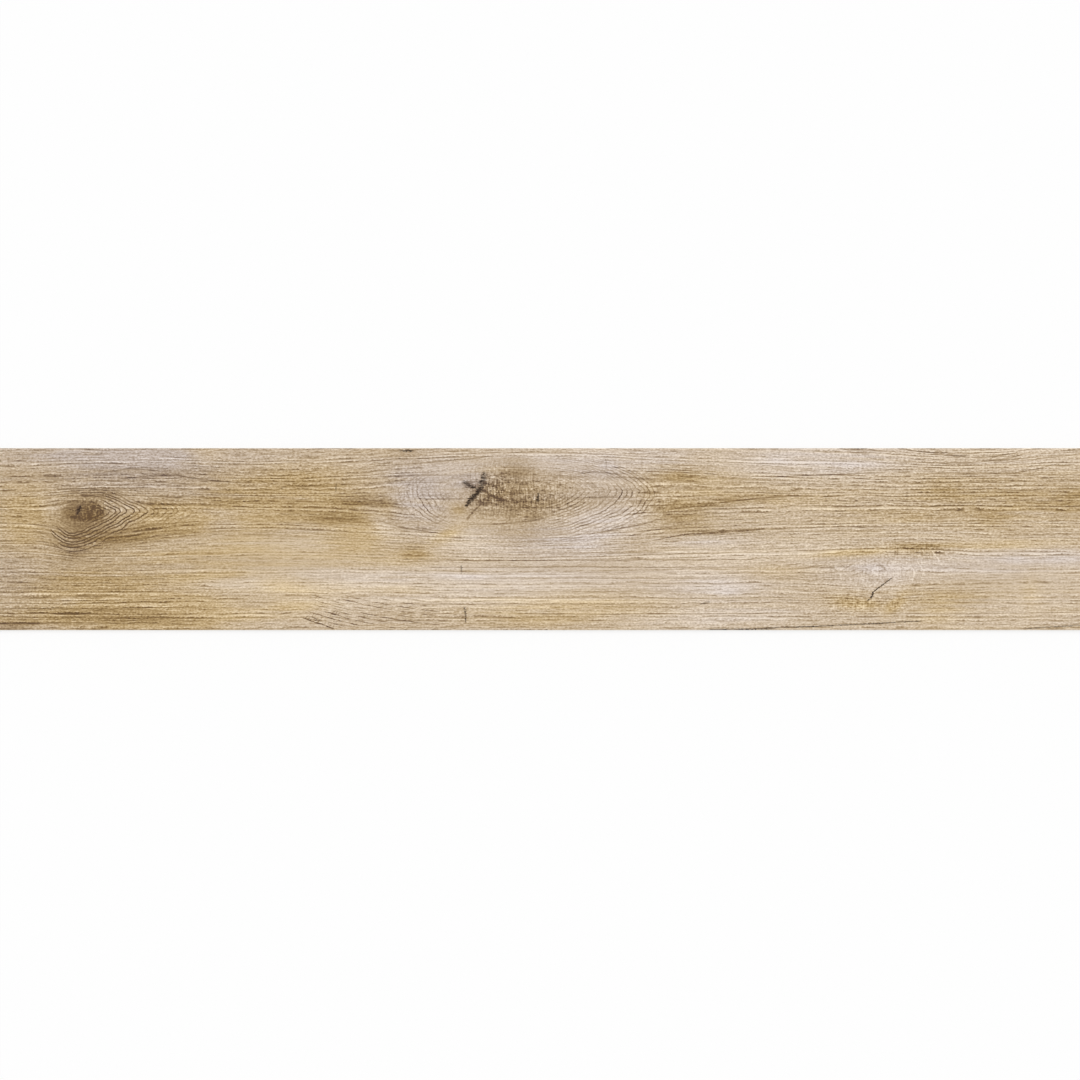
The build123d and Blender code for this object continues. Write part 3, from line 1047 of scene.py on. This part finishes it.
class TileColourSettings(PropertyGroup):
    """Colours of the print and of the porcelain body."""

    ash_1: colour("Ash darkest", "Coolest print colour in the deepest lines", 36, 28, 26)
    ash_2: colour("Ash dark", "Cool print colour in dark lines", 90, 71, 64)
    ash_3: colour("Ash brown", "Cool print colour in brown streaks", 131, 112, 97)
    ash_4: colour("Ash", "Cool print colour of the plain wood", 171, 153, 136)
    ash_5: colour("Ash pale", "Cool print colour of pale wood", 206, 192, 182)
    ash_6: colour("Ash palest", "Cool print colour of the palest streaks", 233, 221, 212)
    honey_1: colour("Honey darkest", "Warmest print colour in the deepest lines", 42, 27, 14)
    honey_2: colour("Honey dark", "Warm print colour in dark lines", 100, 71, 34)
    honey_3: colour("Honey brown", "Warm print colour in brown streaks", 141, 112, 66)
    honey_4: colour("Honey", "Warm print colour of the plain wood", 181, 153, 106)
    honey_5: colour("Honey pale", "Warm print colour of pale wood", 216, 192, 152)
    honey_6: colour("Honey palest", "Warm print colour of the palest streaks", 243, 221, 182)
    crack: colour("Crack", "Colour inside a crack", 52, 41, 34)
    body_pale: colour("Body pale", "Pale grains of the porcelain body", 208, 192, 168)
    body_dark: colour("Body dark", "Dark grains of the porcelain body", 168, 148, 122)
    glaze_line: colour("Glaze line", "Cut glaze along the top of the sides", 150, 124, 94)
    kiln_wash: colour("Kiln wash", "White wash on the ribs of the back", 236, 232, 222)

    def stops(self, family):
        """Ramp stops of one family of print colours."""
        return [(level, tuple(getattr(self, f"{family}_{k}"))) for k, level in enumerate(PALE_LEVELS, 1)]


class TileStageSettings(PropertyGroup):
    """Floor, light and camera."""

    floor: colour("Floor", "Colour of the floor", 250, 250, 250)
    sky: FloatProperty(
        name="Sky", description="Share of the light that comes evenly from all round", default=0.55,
    )
    sun: FloatProperty(
        name="Sun", description="Share of the light that comes from one soft side", default=0.45,
    )
    view_width: FloatProperty(
        name="View width", description="Width of the picture at the tile's face",
        default=1187.5 * MM, unit="LENGTH",
    )
    view_drop: FloatProperty(
        name="View drop", description="How far the picture's middle lies below the tile's", default=0.9 * MM,
        unit="LENGTH",
    )
    lens: FloatProperty(name="Lens", description="Focal length in millimetres", default=200.0)


# Operators

class TILE_OT_make_tile(Operator):
    """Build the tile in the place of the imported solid"""

    bl_idname = "tile.make_tile"
    bl_label = "Make tile"

    def execute(self, context):
        colours = context.scene.tile_colours
        tile = bpy.data.objects.new("wood_look_tile", tile_mesh(context.scene.tile_face))
        for make in (printed_glaze, ground_edge, pressed_back):
            tile.data.materials.append(make(colours))
        context.scene.collection.objects.link(tile)
        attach(tile, "root")
        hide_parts(TILE_NODE)
        return {"FINISHED"}


class TILE_OT_make_stage(Operator):
    """Lay the floor, set the light and aim the camera straight down"""

    bl_idname = "tile.make_stage"
    bl_label = "Make stage"

    def execute(self, context):
        settings = context.scene.tile_stage
        lay_floor(context.scene, settings)
        set_light(context.scene, settings)
        aim_camera(context.scene, settings)
        context.scene.view_settings.view_transform = "Standard"
        return {"FINISHED"}


def seen_directly(tree):
    """One for rays from the camera, from a gloss or through glass, nought for the light's other rays."""
    path = tree.nodes.new("ShaderNodeLightPath")
    rays = [Signal(tree, path.outputs[f"Is {kind} Ray"]) for kind in ("Camera", "Glossy", "Transmission")]
    return rays[0].math("MAXIMUM", rays[1]).math("MAXIMUM", rays[2])


# Floor: half its width in metres, its drop below the tile in millimetres, and the share of its white that is
# its own
FLOOR_REACH = 20.0
FLOOR_DROP = 0.2
FLOOR_GLOW = 0.8


def lay_floor(scene, settings):
    """A wide flat sheet just under the tile, part of its white its own, so that its shadow stays faint."""
    spots = np.array(((-1, -1, 0), (1, -1, 0), (1, 1, 0), (-1, 1, 0))) * FLOOR_REACH
    spots[:, 2] = tile_low.z - FLOOR_DROP * MM
    mesh = bpy.data.meshes.new("floor")
    mesh.from_pydata(spots, [], [(0, 1, 2, 3)])
    floor = bpy.data.objects.new("floor", mesh)
    material, tree, shader = new_material("floor_white")
    shader.inputs["Base Color"].default_value = (*settings.floor, 1.0)
    shader.inputs["Roughness"].default_value = 1.0
    shader.inputs["Specular IOR Level"].default_value = 0.0
    glow = tree.nodes.new("ShaderNodeEmission")
    glow.inputs["Color"].default_value = (1.0, 1.0, 1.0, 1.0)
    mix = tree.nodes.new("ShaderNodeMixShader")
    plug(tree, mix.inputs[0], seen_directly(tree) * FLOOR_GLOW)
    tree.links.new(shader.outputs[0], mix.inputs[1])
    tree.links.new(glow.outputs[0], mix.inputs[2])
    output = next(node for node in tree.nodes if node.type == "OUTPUT_MATERIAL")
    tree.links.new(mix.outputs[0], output.inputs["Surface"])
    mesh.materials.append(material)
    scene.collection.objects.link(floor)


# Soft sun: the way its light goes, and the angle in degrees that it fills
SUN_DIRECTION = (0.18, -0.30, -1.0)
SUN_SPREAD = 25.0


def set_light(scene, settings):
    """Even sky and one soft sun, which together light a level surface to the colour that it has."""
    world = bpy.data.worlds.new("studio")
    world.use_nodes = True
    tree = world.node_tree
    sky = next(node for node in tree.nodes if node.type == "BACKGROUND")
    sky.inputs["Color"].default_value = (1.0, 1.0, 1.0, 1.0)
    plug(tree, sky.inputs["Strength"], seen_directly(tree).step(0.0, 1.0, settings.sky, 1.0))
    scene.world = world
    lamp = bpy.data.lights.new("soft_sun", "SUN")
    direction = Vector(SUN_DIRECTION).normalized()
    lamp.energy = settings.sun * math.pi / -direction.z
    lamp.angle = math.radians(SUN_SPREAD)
    sun = bpy.data.objects.new("soft_sun", lamp)
    sun.rotation_mode = "QUATERNION"
    sun.rotation_quaternion = direction.to_track_quat("-Z", "Y")
    scene.collection.objects.link(sun)


# Camera: width of its sensor in millimetres, and how far it sees in metres
SENSOR_WIDTH = 36.0
FAR_CLIP = 100.0


def aim_camera(scene, settings):
    """A long lens straight above the tile, at the height where the picture has its width on the face."""
    data = bpy.data.cameras.new("camera")
    data.lens = settings.lens
    data.sensor_width = SENSOR_WIDTH
    data.clip_end = FAR_CLIP
    height = settings.view_width * data.lens / data.sensor_width
    camera = bpy.data.objects.new("camera", data)
    camera.location = (0.0, -settings.view_drop, tile_high.z + height)
    scene.collection.objects.link(camera)
    scene.camera = camera


class TILE_PT_panel(Panel):
    """Settings of the tile and its stage"""

    bl_idname = "TILE_PT_panel"
    bl_label = "Wood-look tile"
    bl_space_type = "VIEW_3D"
    bl_region_type = "UI"
    bl_category = "Tile"

    def draw(self, context):
        for group in SETTINGS:
            settings = getattr(context.scene, group)
            for name in type(settings).__annotations__:
                self.layout.prop(settings, name)
        for operator in (TILE_OT_make_tile, TILE_OT_make_stage):
            self.layout.operator(operator.bl_idname)


SETTINGS = {
    "tile_face": TileFaceSettings,
    "tile_colours": TileColourSettings,
    "tile_stage": TileStageSettings,
}
CLASSES = (*SETTINGS.values(), TILE_OT_make_tile, TILE_OT_make_stage, TILE_PT_panel)


def register():
    for kind in CLASSES:
        bpy.utils.register_class(kind)
    for name, kind in SETTINGS.items():
        setattr(bpy.types.Scene, name, PointerProperty(type=kind))


def unregister():
    for name in SETTINGS:
        delattr(bpy.types.Scene, name)
    for kind in reversed(CLASSES):
        bpy.utils.unregister_class(kind)


def main():
    """Builds the tile and its stage."""
    register()
    bpy.ops.tile.make_tile()
    bpy.ops.tile.make_stage()


if __name__ == "__main__":
    main()
